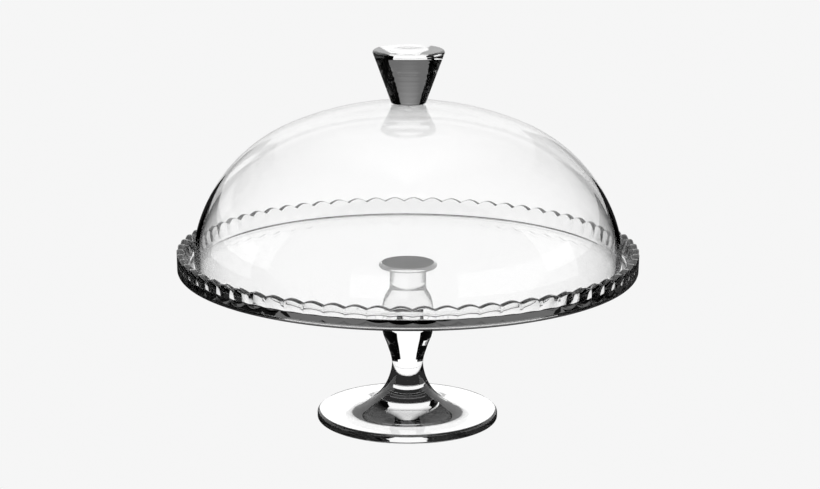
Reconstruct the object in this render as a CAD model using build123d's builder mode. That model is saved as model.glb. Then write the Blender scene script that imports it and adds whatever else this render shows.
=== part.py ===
from build123d import *
from math import asin, cos, degrees, pi, radians, sin, sqrt, tan
import os

# Footed glass cake plate with a scalloped gallery, and the glass dome that lifts off it.
# Origin: centre of the foot's underside. +Z is up, along the stem. -Y is the front.
# Six pieces: pedestal, stem_bond, plate (they stay together), dome, knob_bond, knob (they lift off).

# ---- driving dimensions, in millimetres ----
# foot and stem, pressed in one piece
foot_radius = 63.8
foot_edge_height = 6.2        # height of the foot disc at its rim
foot_edge_round = 2.4
toe_round = 1.6
foot_land_radius = 60.0       # the foot stands on a ring, and is hollowed gently inside it
hollow_depth = 1.2
hollow_middle = 0.68          # share of its depth that the hollow has half way in
waist_radius = 11.0
waist_height = 39.0
bulge_radius = 18.3
bulge_height = 72.0
neck_radius = 12.8
neck_round = 2.2              # where the neck meets the flange
shoulder_height = 91.0        # where the neck starts to widen into the bulge
flange_radius = 20.4
flange_edge = 1.5             # half the flange's thickness, its edge is a full round

# plate
plate_under = 108.3           # height of the plate's underside
floor_height = 113.5          # height of the floor that the dome stands on
plate_radius = 161.3          # over the tips of the scallops
band_radius = 161.0           # outside of the gallery, near its foot
band_height = 111.0           # the outside rounds under below this height
bead_radius = 153.0           # crest of the bead that runs round under the gallery
bead_inside = 149.6
bead_under = 106.4
wall_foot_radius = 153.3      # inside of the gallery, at the floor
wall_lean = 70.0              # degrees that it stands up from level
cove = 1.6
tip_height = 124.0            # top of the scallops
rim_round = 1.1
scallop_count = 68
scallop_depth = 2.5           # from tip to valley
petal_depth = 1.2             # hollow of each lobe, on the inside
groove_depth = 0.6            # between the lobes, on the outside
groove_foot = 114.0
first_valley = -88.85         # degrees about +Z from +X

# dome, a shell whose outline is three arcs in tangent
dome_wall = 2.9               # at the foot
crown_thinning = 0.9          # the wall is this much thinner at the crown
crown_height = 225.8          # top of the shell
crown_arc = 212.0
crown_turn = 24.5             # degrees that each arc turns through
shoulder_arc = 107.5
shoulder_turn = 47.4
wall_arc = 75.0
foot_round = 1.2

# knob
knob_top = 263.3
knob_top_radius = 24.9
knob_foot_radius = 12.4
knob_lip = 1.8
knob_foot_round = 1.0
lip_overhang = 0.75           # the cone runs out this far past the lip before its edge is rounded
dish_radius = 14.0
dish_depth = 2.6

# clear adhesive films
bond_film = 0.3
bond_inset = 0.4              # the film stops this far short of the flange's rounded edge
knob_bond_film = 0.5
knob_bond_radius = 11.0

stem_top = plate_under - bond_film
knob_foot = crown_height + knob_bond_film


def foot_turn(radius, centre_height):
    """Degrees that the dome's wall arc turns through before it meets the plate's floor."""
    return 90 - crown_turn - shoulder_turn + degrees(asin((centre_height - floor_height) / radius))


def wall_centre_height():
    """Height of the centre of the dome's lowest arc."""
    lower_turn = crown_turn + shoulder_turn
    crown_centre = crown_height - crown_arc
    shoulder_centre = crown_centre + (crown_arc - shoulder_arc) * cos(radians(crown_turn))
    return shoulder_centre + (shoulder_arc - wall_arc) * cos(radians(lower_turn))


def outline_arcs(inset, raised):
    """The dome's half outline, moved in by inset and up by raised, from the crown down to the floor."""
    last_radius = wall_arc - inset
    crown = JernArc((0, crown_height - inset + raised), (1, 0), crown_arc - inset, -crown_turn)
    shoulder = JernArc(crown @ 1, crown % 1, shoulder_arc - inset, -shoulder_turn)
    last_turn = foot_turn(last_radius, wall_centre_height() + raised)
    wall = JernArc(shoulder @ 1, shoulder % 1, last_radius, -last_turn)
    return crown, wall


# ---- pedestal: flange, neck, bulge, waist and foot, one solid of revolution ----
with BuildPart() as pedestal:
    with BuildSketch(Plane.XZ):
        with BuildLine():
            top = Line((0, stem_top), (flange_radius - flange_edge, stem_top))
            flange = JernArc(top @ 1, (1, 0), flange_edge, -180)
            under = Line(flange @ 1, (neck_radius + neck_round, stem_top - 2 * flange_edge))
            neck_blend = JernArc(under @ 1, (-1, 0), neck_round, 90)
            neck = Line(neck_blend @ 1, (neck_radius, shoulder_height))
            stem = Spline(
                neck @ 1,
                (16.6, 82.5),
                (bulge_radius, bulge_height),
                (17.5, 62.0),
                (14.2, 53.0),
                (waist_radius, waist_height),
                (12.6, 31.0),
                (17.0, 21.5),
                (25.0, 13.2),
                (36.0, 9.0),
                (48.0, 7.0),
                tangents=((0, -1), (1, -0.08)),
            )
            foot_top = Line(stem @ 1, (foot_radius - foot_edge_round, foot_edge_height))
            corner_gap = foot_edge_round * (1 - sqrt(0.5))
            foot_corner = ThreePointArc(
                foot_top @ 1,
                (foot_radius - corner_gap, foot_edge_height - corner_gap),
                (foot_radius, foot_edge_height - foot_edge_round),
            )
            foot_side = Line(foot_corner @ 1, (foot_radius, toe_round))
            toe = JernArc(foot_side @ 1, (0, -1), toe_round, -90)
            land = Line(toe @ 1, (foot_land_radius, 0))
            hollow = Spline(land @ 1, (foot_land_radius / 2, hollow_middle * hollow_depth), (0, hollow_depth))
            Line(hollow @ 1, top @ 0)
        make_face()
    revolve(axis=Axis.Z)
pedestal.part.label = "pedestal"

# ---- stem_bond: the thin adhesive disc between the flange and the plate ----
with BuildPart() as stem_bond:
    with BuildSketch(Plane.XY.offset(stem_top)):
        Circle(flange_radius - flange_edge - bond_inset)
    extrude(amount=bond_film)
stem_bond.part.label = "stem_bond"

# ---- valley_tool: what is taken out of the gallery between two neighbouring lobes ----
half_pitch = pi * plate_radius / scallop_count
scallop_arc = (half_pitch**2 + scallop_depth**2) / (2 * scallop_depth)
valley_half_width = 0.9 * half_pitch
clearance = 3                 # how far the cutting tools reach past the gallery


def lobe_top(offset):
    """Height of a lobe's arched top, this far round from the valley beside it."""
    return tip_height - scallop_arc + sqrt(scallop_arc**2 - (half_pitch - offset) ** 2)


with BuildPart() as valley_tool:
    with BuildSketch(Plane.YZ.offset(wall_foot_radius - clearance)):
        with BuildLine():
            middle, rim = valley_half_width / 2, valley_half_width
            left = ThreePointArc((0, lobe_top(0)), (-middle, lobe_top(middle)), (-rim, lobe_top(rim)))
            right = ThreePointArc((0, lobe_top(0)), (middle, lobe_top(middle)), (rim, lobe_top(rim)))
            above = tip_height + clearance
            Polyline(left @ 1, (-rim, above), (rim, above), right @ 1)
        make_face()
    extrude(amount=plate_radius - wall_foot_radius + 2 * clearance)
    with BuildSketch(Plane.XY.offset(groove_foot)):
        with BuildLine():
            Polyline(
                (plate_radius - groove_depth, 0),
                (plate_radius + 1, valley_half_width),
                (plate_radius + 1, -valley_half_width),
                close=True,
            )
        make_face()
    extrude(amount=tip_height - groove_foot + 1)

# ---- petal_tool: hollows the inside of one lobe, and leans outward with it ----
petal_foot = floor_height + cove
wall_run = (petal_foot - floor_height) / tan(radians(wall_lean))
half_petal = pi * (wall_foot_radius + 2) / scallop_count
petal_arc = (half_petal**2 + petal_depth**2) / (2 * petal_depth)

with BuildPart() as petal_tool:
    with BuildSketch(Plane.XY.offset(petal_foot)):
        with Locations((wall_foot_radius + wall_run + petal_depth - petal_arc, 0)):
            Circle(petal_arc)
    lean = radians(wall_lean)
    extrude(amount=tip_height - petal_foot + 2 * clearance, dir=(cos(lean), 0, sin(lean)))

# ---- plate: floor, gallery and the bead below it, with the valleys and the petals cut out ----
with BuildPart() as plate:
    with BuildSketch(Plane.XZ):
        with BuildLine():
            bottom = Line((0, plate_under), (bead_inside, plate_under))
            bead = Spline(bottom @ 1, (bead_radius, bead_under), tangents=((1, 0), (1, 0)))
            corner = EllipticalCenterArc(
                (bead_radius, band_height),
                band_radius - bead_radius,
                band_height - bead_under,
                start_angle=-90,
                arc_size=90,
            )
            rim_inside = wall_foot_radius + (tip_height - floor_height) / tan(radians(wall_lean))
            Polyline(
                corner @ 1,
                (plate_radius, tip_height),
                (rim_inside, tip_height),
                (wall_foot_radius, floor_height),
                (0, floor_height),
                bottom @ 0,
            )
        make_face()
        fillet(vertices().group_by(Axis.Y)[-1], radius=rim_round)
        fillet(vertices().sort_by_distance((wall_foot_radius, floor_height))[0], radius=cove)
    revolve(axis=Axis.Z)
    with PolarLocations(0, scallop_count, start_angle=first_valley):
        add(valley_tool.part, mode=Mode.SUBTRACT)
    with PolarLocations(0, scallop_count, start_angle=first_valley + 180 / scallop_count):
        add(petal_tool.part, mode=Mode.SUBTRACT)
plate.part.label = "plate"

# ---- dome: a bell, thinnest at its crown, that stands on the plate's floor, inside the gallery ----
with BuildPart() as dome:
    with BuildSketch(Plane.XZ):
        with BuildLine():
            outside_top, outside_end = outline_arcs(0, 0)
            inside_top, inside_end = outline_arcs(dome_wall, crown_thinning)
            Line(outside_top @ 0, inside_top @ 0)
            Line(outside_end @ 1, inside_end @ 1)
        make_face()
        fillet(vertices().group_by(Axis.Y)[0], radius=foot_round)
    revolve(axis=Axis.Z)
dome.part.label = "dome"

# ---- knob_bond: adhesive between the crown of the dome and the knob's flat foot ----
bond_rim = crown_height - crown_arc + sqrt(crown_arc**2 - knob_bond_radius**2)
with BuildPart() as knob_bond:
    with BuildSketch(Plane.XZ):
        with BuildLine():
            film = Polyline(
                (0, crown_height),
                (0, knob_foot),
                (knob_bond_radius, knob_foot),
                (knob_bond_radius, bond_rim),
            )
            RadiusArc(film @ 1, film @ 0, -crown_arc)
        make_face()
    revolve(axis=Axis.Z)
knob_bond.part.label = "knob_bond"

dish_arc = (dish_radius**2 + dish_depth**2) / (2 * dish_depth)

# ---- knob: a solid cone, wide end up, with a rounded lip and a dished top ----
with BuildPart() as knob:
    with BuildSketch(Plane.XZ):
        with BuildLine():
            outline = Polyline(
                (0, knob_top - dish_depth),
                (0, knob_foot),
                (knob_foot_radius, knob_foot),
                (knob_top_radius + lip_overhang, knob_top),
                (dish_radius, knob_top),
            )
            RadiusArc(outline @ 1, outline @ 0, dish_arc)
        make_face()
        rim = vertices().group_by(Axis.X)[-1]
        fillet(rim, radius=knob_lip)
        fillet(vertices().group_by(Axis.Y)[0].group_by(Axis.X)[-1], radius=knob_foot_round)
    revolve(axis=Axis.Z)
knob.part.label = "knob"

os.makedirs("parts", exist_ok=True)
for piece in (pedestal, stem_bond, plate, dome, knob_bond, knob):
    export_step(piece.part, f"parts/{piece.part.label}.step")
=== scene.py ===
from math import asin, atan2, cos, degrees, hypot, pi, radians, sin, tan

import bmesh
import bpy
from mathutils import Matrix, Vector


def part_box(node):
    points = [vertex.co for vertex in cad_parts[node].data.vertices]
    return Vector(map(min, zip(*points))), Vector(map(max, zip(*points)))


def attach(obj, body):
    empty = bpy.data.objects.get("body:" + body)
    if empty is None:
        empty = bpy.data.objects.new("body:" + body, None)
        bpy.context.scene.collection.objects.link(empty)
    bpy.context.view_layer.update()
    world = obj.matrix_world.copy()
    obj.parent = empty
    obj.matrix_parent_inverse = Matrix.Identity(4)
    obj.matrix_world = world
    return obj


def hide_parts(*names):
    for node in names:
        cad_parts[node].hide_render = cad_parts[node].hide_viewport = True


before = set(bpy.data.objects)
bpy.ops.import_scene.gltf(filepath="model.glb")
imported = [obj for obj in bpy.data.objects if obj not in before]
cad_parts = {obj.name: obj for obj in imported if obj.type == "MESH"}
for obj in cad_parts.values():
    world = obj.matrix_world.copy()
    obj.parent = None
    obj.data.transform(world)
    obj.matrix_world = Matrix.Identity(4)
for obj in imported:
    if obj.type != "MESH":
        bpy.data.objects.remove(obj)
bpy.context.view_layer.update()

# Footed glass cake stand and its dome. Lengths in the outlines below are millimetres in the part's
# frame, +Z up and -Y to the front, and become metres when a mesh is made.
MM = 0.001


def extent(node):
    """A round node's largest radius, lowest height and highest height, in millimetres."""
    low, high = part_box(node)
    return (high.x - low.x) / 2 / MM, low.z / MM, high.z / MM


foot_radius, _, stem_top = extent("pedestal")
plate_radius, bead_height, tip_height = extent("plate")
UNDERSIDE = 108.3                  # the plate's flat underside, inside its bead
_, floor_height, crown_height = extent("dome")
DOME_CLEAR = 0.04                  # between the dome's rim and the plate
BOND_RADIUS = 18.9                 # the faces that are glued together
_, knob_foot, knob_top = extent("knob")

# ---------------------------------------------------------------------------------------------
# Outlines. An outline is a list of (radius, height) points that a lathe turns about the Z axis.
# ---------------------------------------------------------------------------------------------
SUPPORT = 0.25  # a straight stretch has a point this near each end, so that its faces shade flat


def straight(start, end):
    """Points of a straight stretch, without its last one."""
    length = hypot(end[0] - start[0], end[1] - start[1])
    shares = [0.0]
    if length > 4 * SUPPORT:
        shares += [SUPPORT / length, 1 - SUPPORT / length]
    return [(start[0] + (end[0] - start[0]) * s, start[1] + (end[1] - start[1]) * s) for s in shares]


def arc(centre, radius, first, last, step=8.0):
    """Points of an arc, angles in degrees from the +radius direction, both ends included."""
    count = max(2, round(abs(last - first) / step))
    angles = [radians(first + (last - first) * i / count) for i in range(count + 1)]
    return [(centre[0] + radius * cos(a), centre[1] + radius * sin(a)) for a in angles]


def flow(points, start_slope, end_slope, step=1.2):
    """A smooth curve through the points, with given directions at both ends, by cubic Hermite pieces."""
    def unit(vector):
        size = hypot(*vector)
        return vector[0] / size, vector[1] / size

    slopes = [unit(start_slope)]
    for before, here, after in zip(points, points[1:], points[2:]):
        near = hypot(here[0] - before[0], here[1] - before[1])
        far = hypot(after[0] - here[0], after[1] - here[1])
        slopes.append(unit(tuple(
            (here[k] - before[k]) / near * far + (after[k] - here[k]) / far * near for k in (0, 1)
        )))
    slopes.append(unit(end_slope))
    curve = []
    for a, b, da, db in zip(points, points[1:], slopes, slopes[1:]):
        chord = hypot(b[0] - a[0], b[1] - a[1])
        count = max(2, round(chord / step))
        for i in range(count):
            t = i / count
            h1, h2 = 2 * t**3 - 3 * t**2 + 1, -2 * t**3 + 3 * t**2
            h3, h4 = t**3 - 2 * t**2 + t, t**3 - t**2
            curve.append(tuple(h1 * a[k] + h2 * b[k] + chord * (h3 * da[k] + h4 * db[k]) for k in (0, 1)))
    return curve + [points[-1]]


def tidy(outline):
    """The outline without points that repeat."""
    kept = [outline[0]]
    for point in outline[1:]:
        if hypot(point[0] - kept[-1][0], point[1] - kept[-1][1]) > 0.004:
            kept.append(point)
    return kept


def lathe(name, outline, segments, shape=None, turns=None, bonded=None):
    """A closed mesh of revolution. The outline starts and ends on the axis, or closes on itself.

    shape(radius, height, share) may move a point, share being how far round its repeat it is.
    turns lists the angles, in radians, where shape isn't the same all the way round.
    bonded is the height of a flat face that is glued within BOND_RADIUS: it takes the second material."""
    outline = tidy(outline)
    closed = outline[0][0] > 1e-6
    angles = turns or [(2 * pi * i / segments, 0.0) for i in range(segments)]
    verts, rings = [], []
    for radius, height in outline:
        if radius < 1e-6:
            rings.append([len(verts)])
            verts.append((0.0, 0.0, height * MM))
            continue
        ring = []
        for angle, share in angles:
            r, z = shape(radius, height, share) if shape else (radius, height)
            ring.append(len(verts))
            verts.append((r * cos(angle) * MM, r * sin(angle) * MM, z * MM))
        rings.append(ring)
    if closed:
        rings.append(rings[0])
    faces = []
    n = len(angles)
    for low, high in zip(rings, rings[1:]):
        for i in range(n):
            j = (i + 1) % n
            if len(low) == 1:
                faces.append((low[0], high[j], high[i]))
            elif len(high) == 1:
                faces.append((low[i], low[j], high[0]))
            else:
                faces.append((low[i], low[j], high[j], high[i]))
    mesh = bpy.data.meshes.new(name)
    mesh.from_pydata(verts, [], faces)
    mesh.update()
    facing_out = bmesh.new()
    facing_out.from_mesh(mesh)
    bmesh.ops.recalc_face_normals(facing_out, faces=facing_out.faces)
    facing_out.to_mesh(mesh)
    facing_out.free()
    for polygon in mesh.polygons:
        polygon.use_smooth = True
        if bonded is not None and abs(polygon.center.z / MM - bonded) < 0.01:
            polygon.material_index = int(hypot(polygon.center.x, polygon.center.y) / MM < BOND_RADIUS)
    piece = bpy.data.objects.new(name, mesh)
    bpy.context.scene.collection.objects.link(piece)
    return piece


# ---------------------------------------------------------------------------------------------
# The pieces
# ---------------------------------------------------------------------------------------------
def pedestal_outline():
    """From the middle of the flange's top, down the stem, round the foot, to the middle of the recess."""
    flange_radius, flange_edge = 20.4, 1.5
    neck_radius, neck_blend, shoulder_height = 12.8, 2.2, 91.0
    edge_height, edge_round, toe_round = 6.2, 2.4, 1.6
    land_radius, hollow_depth = 60.0, 1.2
    toe = (48.0, 7.0)
    flange_middle = stem_top - flange_edge
    flange_under = stem_top - 2 * flange_edge
    outline = [(0, stem_top), (BOND_RADIUS, stem_top)]
    outline += arc((flange_radius - flange_edge, flange_middle), flange_edge, 90, -90, 15)
    outline += straight(outline[-1], (neck_radius + neck_blend, flange_under))[1:]
    outline += arc((neck_radius + neck_blend, flange_under - neck_blend), neck_blend, 90, 180, 10)
    outline += straight(outline[-1], (neck_radius, shoulder_height))[1:]
    outline += flow(
        [(neck_radius, shoulder_height), (16.6, 82.5), (18.3, 72.0), (17.5, 62.0), (14.2, 53.0),
         (11.0, 39.0), (12.6, 31.0), (17.0, 21.5), (25.0, 13.2), (36.0, 9.0), toe],
        (0, -1), (1, -0.08))
    corner = (foot_radius - edge_round, edge_height - edge_round)
    outline += straight(toe, (corner[0] + edge_round * sin(radians(3)), edge_height))[1:]
    outline += arc(corner, edge_round, 87, 0, 10)
    outline += straight((foot_radius, corner[1]), (foot_radius, toe_round))[1:]
    outline += arc((foot_radius - toe_round, toe_round), toe_round, 0, -90, 10)
    outline += straight((foot_radius - toe_round, 0), (land_radius, 0))[1:]
    hollow = [(land_radius, 0.0), (land_radius / 2, 0.68 * hollow_depth), (0, hollow_depth)]
    return outline + flow(hollow, (-1, 0.04), (-1, 0))


SCALLOPS = 68
SCALLOP_DEPTH = 2.5
INNER_FLUTE, OUTER_FLUTE = 1.2, 0.6    # how deep the lobes are fluted, inside and outside the gallery
FIRST_VALLEY = radians(-88.85)
PITCH = 2 * pi / SCALLOPS
FLOOR_RADIUS, WALL_LEAN, COVE = 152.2, radians(70), 1.6
LOBE_SHARES = [0, 0.012, 0.035, 0.07, 0.12, 0.19, 0.28, 0.39, 0.5, 0.61, 0.72, 0.81, 0.88, 0.93, 0.965, 0.988]


def plate_outline():
    """From the middle of the floor, out over the gallery and back under to the middle of the underside."""
    lip, side_foot = 1.1, 111.0
    bead_radius, bead_inside = 153.0, 149.6
    cove = arc((FLOOR_RADIUS, floor_height + COVE), COVE, -90, degrees(WALL_LEAN) - 90, 15)
    wall_top = cove[-1][0] + (tip_height - lip - cove[-1][1]) / tan(WALL_LEAN)
    inner_centre = (wall_top + lip / sin(WALL_LEAN), tip_height - lip)
    outer_centre = (plate_radius - lip, tip_height - lip)
    rise = arc(inner_centre, lip, 90 + degrees(WALL_LEAN), 90, 15)
    outline = straight((0, floor_height), cove[0]) + cove[:-1]
    outline += straight(cove[-1], rise[0]) + rise
    rim = arc(outer_centre, lip, 90, 0, 15)
    outline += straight(rise[-1], rim[0])[1:] + rim
    outline += straight(rim[-1], (plate_radius - 0.3, side_foot))[1:]
    across, down = plate_radius - 0.3 - bead_radius, side_foot - bead_height
    outline += [(bead_radius + across * cos(radians(a)), side_foot - down * sin(radians(a)))
                for a in range(0, 91, 6)]
    outline += flow([(bead_radius, bead_height), (bead_inside, UNDERSIDE)], (-1, 0), (-1, 0), 0.5)[1:]
    outline += straight((bead_inside, UNDERSIDE), (BOND_RADIUS, UNDERSIDE))[1:]
    return outline + [(BOND_RADIUS, UNDERSIDE), (0, UNDERSIDE)]


def scalloped(radius, height, share):
    """Moves a point of the plate's outline for its gallery's lobes: share is 0 in a valley, 0.5 on a tip."""
    if height <= floor_height or radius <= FLOOR_RADIUS + 0.01:
        return radius, height
    lift = (height - floor_height) / (tip_height - floor_height)
    arched = (1 - 2 * share)**2
    waved = (1 + cos(2 * pi * share)) / 2
    drop = 0.8 * arched + 0.2 * waved
    outer = min(1.0, max(0.0, (radius - 157) / 4))
    flute = INNER_FLUTE + (OUTER_FLUTE - INNER_FLUTE) * outer
    return radius - flute * drop * min(1.0, lift * 4), height - SCALLOP_DEPTH * drop * lift**3


def plate_turns():
    """Every angle that the plate has points at, with how far round its lobe that is."""
    return [(FIRST_VALLEY + PITCH * (i + s), s) for i in range(SCALLOPS) for s in LOBE_SHARES]


# The radius of each arc from the crown down, and how many degrees it turns. The last ends at the floor.
DOME_ARCS = ((212.0, 24.5), (107.5, 47.4), (75.0, 90.0))


def dome_side(inset):
    """The dome's half outline, inset from its outside, from the crown down to the floor."""
    centre, angle, side = (0.0, crown_height - DOME_ARCS[0][0]), 90.0, []
    for k, (radius, turn) in enumerate(DOME_ARCS):
        end = angle - turn
        if k == 2:
            end = degrees(asin((floor_height - centre[1]) / (radius - inset)))
        side += arc(centre, radius - inset, angle, end, 1.2)
        angle = end
        if k < 2:
            step = radius - DOME_ARCS[k + 1][0]
            centre = (centre[0] + step * cos(radians(end)), centre[1] + step * sin(radians(end)))
    return side


def dome_outline():
    """Down the outside, round the rim, and up the inside, which is nearer the outside at the crown."""
    wall, crown_thinning, foot_round = 2.9, 0.9, 1.2
    round_height = floor_height + DOME_CLEAR + foot_round
    outside = [p for p in dome_side(0) if p[1] > round_height]
    inside = [(r, z + crown_thinning) for r, z in dome_side(wall) if z + crown_thinning > round_height]
    outer_radius, inner_radius = dome_side(0)[-1][0], dome_side(wall)[-1][0]
    toe = arc((outer_radius - foot_round, round_height), foot_round, 0, -90, 15)
    heel = arc((inner_radius + foot_round, round_height), foot_round, -90, -180, 15)
    return outside + toe + heel + inside[::-1]


def knob_outline():
    """From the middle of the foot, up the leaning side, over the lip, to the middle of the dish."""
    foot_r, top_r, lip, dish_radius, dish_depth = 12.4, 24.9, 1.8, 14.0, 2.6
    corner_r = top_r + 0.75
    foot_round, foot_inset = 1.0, 1.1
    lean = atan2(knob_top - knob_foot, corner_r - foot_r)
    lip_centre = (top_r - lip, knob_top - lip)
    outline = straight((0, knob_foot), (foot_r - foot_round, knob_foot))
    outline += arc((foot_r - foot_inset, knob_foot + foot_round), foot_round, -90, degrees(lean) - 90, 15)
    outline += straight(outline[-1], (lip_centre[0] + lip * sin(lean), lip_centre[1] - lip * cos(lean)))[1:]
    outline += arc(lip_centre, lip, degrees(lean) - 90, 90, 10)
    outline += straight((lip_centre[0], knob_top), (dish_radius, knob_top))[1:]
    dish = (dish_radius**2 + dish_depth**2) / (2 * dish_depth)
    rim_angle = degrees(asin(dish_radius / dish))
    outline += arc((0, knob_top - dish_depth + dish), dish, -90 + rim_angle, -90, 1.5)
    return outline[:-1] + [(0, knob_top - dish_depth)]


# ---------------------------------------------------------------------------------------------
# Materials
# ---------------------------------------------------------------------------------------------
def glass(name, ripple, ripple_scale, ior=1.5, grain=(1, 1, 1)):
    """Clear glass. ripple is the height, in metres, of the unevenness that its making left on it.

    An ior of 1 is for glued faces and for the glue, where light goes straight on."""
    material = bpy.data.materials.new(name)
    material.use_nodes = True
    nodes, links = material.node_tree.nodes, material.node_tree.links
    shader = nodes["Principled BSDF"]
    shader.inputs["Base Color"].default_value = (1, 1, 1, 1)
    shader.inputs["Transmission Weight"].default_value = 1.0
    shader.inputs["Roughness"].default_value = 0.0
    shader.inputs["IOR"].default_value = ior
    place = nodes.new("ShaderNodeTexCoord")
    stretch = nodes.new("ShaderNodeMapping")
    stretch.inputs["Scale"].default_value = grain
    noise = nodes.new("ShaderNodeTexNoise")
    noise.inputs["Scale"].default_value = ripple_scale
    noise.inputs["Detail"].default_value = 1.0
    relief = nodes.new("ShaderNodeBump")
    relief.inputs["Strength"].default_value = 1.0
    relief.inputs["Distance"].default_value = ripple
    links.new(place.outputs["Object"], stretch.inputs["Vector"])
    links.new(stretch.outputs["Vector"], noise.inputs["Vector"])
    links.new(noise.outputs["Fac"], relief.inputs["Height"])
    links.new(relief.outputs["Normal"], shader.inputs["Normal"])
    return material


def finish_piece(piece, body, slot, node, *materials):
    for material in materials:
        piece.data.materials.append(material)
    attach(piece, body)
    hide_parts(node)


bonded_glass = glass("bonded_glass", ripple=0.00001, ripple_scale=60, ior=1.0)
finish_piece(lathe("pedestal_glass", pedestal_outline(), 256, bonded=stem_top),
             "stand", "pedestal_glass", "pedestal",
             glass("pedestal_glass", ripple=0.000004, ripple_scale=60), bonded_glass)
finish_piece(lathe("plate_glass", plate_outline(), 0, scalloped, plate_turns(), bonded=UNDERSIDE),
             "stand", "plate_glass", "plate",
             glass("plate_glass", ripple=0.000005, ripple_scale=50), bonded_glass)
finish_piece(lathe("dome_glass", dome_outline(), 256),
             "lid", "dome_glass", "dome", glass("dome_glass", ripple=0.00003, ripple_scale=14))
finish_piece(lathe("knob_glass", knob_outline(), 192),
             "lid", "knob_glass", "knob",
             glass("knob_glass", ripple=0.00003, ripple_scale=20, grain=(1, 1, 22)))
for name in ("stem_bond", "knob_bond"):
    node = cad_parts[name]
    node.data.materials.clear()
    node.data.materials.append(glass(name, ripple=0.00001, ripple_scale=120, ior=1.0))

# ---------------------------------------------------------------------------------------------
# Studio: bright-field light, as glass is photographed. A low pale wall all round and the pale floor
# are seen through the glass, and dark cards and a dark room draw its edges.
# This is not plain studio light. The floor, the wall, the cards and the room also change with how
# often the light has been mirrored (Glossy Depth) or refracted (Transmission Depth), and the camera
# sees a plain pale floor and room whatever they do. The values were chosen at the photograph's angle:
# from others, such as 45,25, the floor's dark sides behind the stand show through the dome as a grey
# patch.
# ---------------------------------------------------------------------------------------------
PALE = 0.92                        # what the camera sees of the floor and the room
ROOM = 0.8                         # the room against the floor and the wall
ROOM_MIRRORED = 0.1                # how much of the room is left in light that was mirrored
FRONT, FRONT_SKY = -0.2, 0.03      # below this y the room is in front, and is mirrored this bright
SKY_FROM, SKY_HALF = 0.1, 0.5      # below this z the room is mirrored bright only as wide as this
LIT = 1.1                          # the floor, seen through the dome or the plate
OUTSIDE = 0.15                     # how much is left of it at the sides, seen through more glass
UNDER = 1.25                       # the floor under the foot, a painted pool of light seen through the foot
FOOT = 0.066                       # how far out that floor goes
# How much of the floor is left in light that was mirrored, and in that light within the window ahead.
FLOOR_MIRRORED, FLOOR_AHEAD = 0.02, 0.8
DARK_FLOOR_FROM = (0.20, 0.28)          # the floor's painted dark sectors, painted shade seen through the glass, start between these radii
SIDES_FROM = (0.19, 0.30)          # its dark sides behind start between these distances from the middle
GUIDED, GUIDED_LIGHT = 8.5, 0.15   # light mirrored more often than this is even and dim
GUIDED_FROM = 0.1                  # but on the floor only beyond this radius
WALL_RADIUS, WALL_LIGHT = 1.1, 1.12
WALL_BRIGHT, WALL_SOFT, WALL_GREY, WALL_TOP = 0.405, 0.445, 0.51, 0.575
SOFT = 0.28                        # the wall's light at WALL_SOFT
# How much of the wall is left when mirrored twice, and in the window when mirrored more often.
WALL_TWICE, WALL_OFTEN = 0.03, 0.22
GREY = 0.16                        # the room just above the wall
CROWN = 1.05                       # the wall behind, mirrored in the crown of the dome
SKY_LOW, SKY_HIGH = 1.25, 1.1      # the room as the glass mirrors it, low down and overhead
THIN = 2.5                         # light that has crossed more glass faces than this passes the cards
# Sectors of the floor and the room that are dark, in degrees from +Y towards +X.
DARK_SECTORS = ((26, 105), (-72, -26), (-160, -110), (163, 177))
WINDOW_HALF = 18                   # the bright window ahead reaches this far to each side
BEHIND = (14, 50)                  # straight behind fades out between these angles
CARD_X = 0.32


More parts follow.
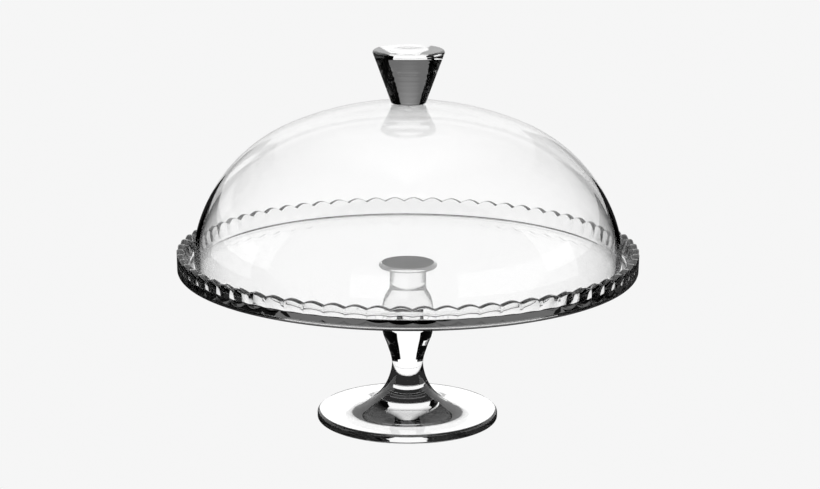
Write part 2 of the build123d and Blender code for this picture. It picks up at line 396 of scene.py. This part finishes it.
class Nodes:
    """A few words for building a shader."""

    def __init__(self, tree):
        self.tree = tree
        tree.nodes.clear()

    def new(self, kind, **values):
        node = self.tree.nodes.new(kind)
        for key, value in values.items():
            setattr(node, key, value)
        return node

    def link(self, source, target):
        self.tree.links.new(source, target)

    def fill(self, sockets, values):
        for socket, value in zip(sockets, values):
            if isinstance(value, (int, float)):
                socket.default_value = value
            else:
                self.link(value, socket)

    def maths(self, operation, *values):
        node = self.new("ShaderNodeMath", operation=operation)
        self.fill(node.inputs, values)
        return node.outputs[0]

    def times(self, first, *others):
        for other in others:
            first = self.maths("MULTIPLY", first, other)
        return first

    def pick(self, share, low, high):
        """low where share is 0, high where it is 1."""
        node = self.new("ShaderNodeMix", data_type="FLOAT")
        self.fill([node.inputs[0], node.inputs[2], node.inputs[3]], (share, low, high))
        return node.outputs[0]

    def fade(self, value, start, end, low=0.0, high=1.0):
        """low up to start, high from end, and even in between."""
        node = self.new("ShaderNodeMapRange")
        self.fill(node.inputs, (value, start, end, low, high))
        return node.outputs[0]

    def dark_sector(self, x, y):
        """1 where the direction (x, y) is in a dark sector."""
        angle = self.maths("ARCTAN2", x, y)
        inside = 0.0
        for low, high in DARK_SECTORS:
            above = self.maths("GREATER_THAN", angle, radians(low))
            below = self.maths("LESS_THAN", angle, radians(high))
            inside = self.maths("ADD", inside, self.times(above, below))
        return inside

    def window(self, x, y):
        """1 where the direction (x, y) is within the bright window ahead."""
        off = self.maths("ABSOLUTE", self.maths("ARCTAN2", x, y))
        return self.maths("LESS_THAN", off, radians(WINDOW_HALF))

    def once(self, path):
        """1 for light mirrored once, and no more, on its way."""
        return self.times(self.maths("GREATER_THAN", path["Glossy Depth"], 0.5),
                          self.maths("LESS_THAN", path["Glossy Depth"], 1.5))

    def guided(self, path):
        """1 for light that has been led along inside the glass."""
        return self.maths("GREATER_THAN", path["Glossy Depth"], GUIDED)

    def behind(self, x, y):
        """1 where the direction (x, y) is straight behind, fading to 0 at the sides."""
        off = self.maths("ABSOLUTE", self.maths("ARCTAN2", x, y))
        return self.fade(off, radians(BEHIND[0]), radians(BEHIND[1]), 1.0, 0.0)

    def place(self, output="Object"):
        coordinates = self.new("ShaderNodeTexCoord")
        split = self.new("ShaderNodeSeparateXYZ")
        self.link(coordinates.outputs[output], split.inputs[0])
        return split.outputs

    def emit(self, strength):
        light = self.new("ShaderNodeEmission")
        self.fill([light.inputs["Strength"]], [strength])
        out = self.new("ShaderNodeOutputMaterial")
        self.link(light.outputs[0], out.inputs["Surface"])


def stage_material(name):
    material = bpy.data.materials.new(name)
    material.use_nodes = True
    return material, Nodes(material.node_tree)


# The floor glows with painted light and shade as the glass sees it: a bright pool under the foot, painted
# dark sectors and dark sides behind, and dim in mirrored light. The camera sees it plain and pale.
def floor_material():
    material, t = stage_material("floor")
    path = t.new("ShaderNodeLightPath").outputs
    x, y, _ = t.place()
    radius = t.maths("SQRT", t.maths("ADD", t.times(x, x), t.times(y, y)))
    thin = t.maths("LESS_THAN", path["Transmission Depth"], THIN)
    under = t.maths("LESS_THAN", radius, FOOT)
    mirrored = t.maths("GREATER_THAN", path["Glossy Depth"], 0.5)
    away = t.fade(radius, *DARK_FLOOR_FROM)
    sides = t.times(away, t.dark_sector(x, y))
    outside = t.times(away, t.fade(t.maths("ABSOLUTE", x), *SIDES_FROM), t.maths("GREATER_THAN", y, 0.0))
    far_thin = t.times(LIT, t.fade(sides, 0, 1, 1, 0))
    far_deep = t.times(LIT, t.fade(outside, 0, 1, 1, OUTSIDE))
    ahead = t.times(away, t.window(x, y))
    seen = t.pick(under, t.pick(thin, far_deep, far_thin), UNDER)
    seen = t.times(seen, t.pick(mirrored, 1.0, t.pick(ahead, FLOOR_MIRRORED, FLOOR_AHEAD)))
    beyond = t.maths("GREATER_THAN", radius, GUIDED_FROM)
    seen = t.pick(t.times(beyond, t.guided(path)), seen, GUIDED_LIGHT)
    t.emit(t.pick(path["Is Camera Ray"], seen, PALE))
    return material


def wall_material():
    material, t = stage_material("wall")
    path = t.new("ShaderNodeLightPath").outputs
    x, y, z = t.place()
    light = t.pick(t.maths("GREATER_THAN", z, WALL_SOFT), t.fade(z, WALL_BRIGHT, WALL_SOFT, WALL_LIGHT, SOFT),
                   t.fade(z, WALL_SOFT, WALL_GREY, SOFT, GREY))
    twice = t.maths("GREATER_THAN", path["Glossy Depth"], 1.5)
    often = t.maths("GREATER_THAN", path["Glossy Depth"], 2.5)
    through = t.pick(t.window(x, y), WALL_TWICE, t.pick(often, 1.0, WALL_OFTEN))
    seen = t.times(light, t.pick(twice, 1.0, through))
    once = t.times(t.once(path), t.behind(x, y))
    t.emit(t.pick(t.guided(path), t.pick(once, seen, CROWN), GUIDED_LIGHT))
    return material


def card_material():
    material, t = stage_material("card")
    path = t.new("ShaderNodeLightPath").outputs
    dark = t.new("ShaderNodeEmission")
    dark.inputs["Strength"].default_value = 0.0
    clear = t.new("ShaderNodeBsdfTransparent")
    mix = t.new("ShaderNodeMixShader")
    out = t.new("ShaderNodeOutputMaterial")
    t.link(t.maths("GREATER_THAN", path["Transmission Depth"], THIN), mix.inputs[0])
    t.link(dark.outputs[0], mix.inputs[1])
    t.link(clear.outputs[0], mix.inputs[2])
    t.link(mix.outputs[0], out.inputs["Surface"])
    return material


def stage_mesh(name, verts, faces, material):
    mesh = bpy.data.meshes.new(name)
    mesh.from_pydata(verts, [], faces)
    mesh.materials.append(material)
    obj = bpy.data.objects.new(name, mesh)
    bpy.context.scene.collection.objects.link(obj)
    return obj


def off_camera(obj):
    obj.visible_camera = obj.visible_diffuse = obj.visible_glossy = obj.visible_shadow = False


edge, level = 6.0, -0.0003         # the floor lies just clear of the foot
stage_mesh("floor", [(-edge, -edge, level), (edge, -edge, level), (edge, edge, level), (-edge, edge, level)],
           [(0, 1, 2, 3)], floor_material())
steps = 48
ring = [(WALL_RADIUS * cos(2 * pi * i / steps), WALL_RADIUS * sin(2 * pi * i / steps)) for i in range(steps)]
off_camera(stage_mesh(
    "wall", [(x, y, 0) for x, y in ring] + [(x, y, WALL_TOP) for x, y in ring],
    [(i, (i + 1) % steps, steps + (i + 1) % steps, steps + i) for i in range(steps)], wall_material()))

card_finish = card_material()
CARDS = {                          # the ends of each card on the floor, then its lowest and highest edge
    "right": ((CARD_X, -0.05), (CARD_X, 1.05), 0.0, 0.47),
    "left_low": ((-CARD_X, 0.10), (-CARD_X, 0.85), 0.0, 0.19),
    "left_mid": ((-CARD_X, 0.50), (-CARD_X, 0.85), 0.16, 0.34),
    "left_high": ((-CARD_X, 0.10), (-CARD_X, 0.62), 0.34, 0.43),
    "left_front": ((-CARD_X, -0.62), (-CARD_X, -0.10), 0.0, 0.43),
    "front": ((0.0, -0.40), (0.16, -0.40), 0.0, 0.43),
}
for name, (start, end, low, high) in CARDS.items():
    off_camera(stage_mesh(f"card_{name}", [(*start, low), (*end, low), (*end, high), (*start, high)],
                          [(0, 1, 2, 3)], card_finish))

world = bpy.data.worlds.new("studio")
world.use_nodes = True
bpy.context.scene.world = world
t = Nodes(world.node_tree)
path = t.new("ShaderNodeLightPath").outputs
x, y, z = t.place("Generated")
room = t.pick(t.dark_sector(x, y), GREY, 0.0)
room = t.times(room, t.pick(t.maths("GREATER_THAN", path["Glossy Depth"], 0.5), 1.0, ROOM_MIRRORED))
room = t.pick(t.times(t.once(path), t.behind(x, y)), room, CROWN)
ahead = t.maths("GREATER_THAN", y, FRONT)
low_sky = t.times(t.maths("LESS_THAN", t.maths("ABSOLUTE", x), SKY_HALF), t.fade(z, -0.06, -0.05))
glow = t.pick(t.fade(z, 0.5, 0.8), SKY_LOW, SKY_HIGH)
high = t.maths("GREATER_THAN", z, SKY_FROM)
mirrored = t.times(glow, t.pick(ahead, FRONT_SKY, t.pick(high, low_sky, 1.0)))
room = t.pick(t.guided(path), t.pick(path["Is Reflection Ray"], room, mirrored), GUIDED_LIGHT)
sky = t.new("ShaderNodeBackground")
sky.inputs["Color"].default_value = (1, 1, 1, 1)
t.link(t.pick(path["Is Camera Ray"], t.times(room, ROOM), PALE), sky.inputs["Strength"])
out = t.new("ShaderNodeOutputWorld")
t.link(sky.outputs[0], out.inputs["Surface"])

# ---------------------------------------------------------------------------------------------
# Camera
# ---------------------------------------------------------------------------------------------
FRAME_WIDTH, FOCAL_PIXELS = 820, 2426
SENSOR_WIDTH = 36.0
EYE, DOWN, ROLL = (0.0014, -1.648, 0.528), 13.72, 0.23    # where it stands, and its tilts in degrees
camera_data = bpy.data.cameras.new("camera")
camera_data.sensor_width = SENSOR_WIDTH
camera_data.lens = SENSOR_WIDTH * FOCAL_PIXELS / FRAME_WIDTH
camera = bpy.data.objects.new("camera", camera_data)
bpy.context.scene.collection.objects.link(camera)
camera.matrix_world = (
    Matrix.Translation(EYE)
    @ Matrix.Rotation(radians(90 - DOWN), 4, "X")
    @ Matrix.Rotation(radians(ROLL), 4, "Z")
)
scene = bpy.context.scene
scene.camera = camera
scene.view_settings.view_transform = "Standard"
scene.cycles.max_bounces = 32
scene.cycles.transmission_bounces = 32
scene.cycles.glossy_bounces = 16
scene.cycles.transparent_max_bounces = 32
scene.cycles.caustics_refractive = True
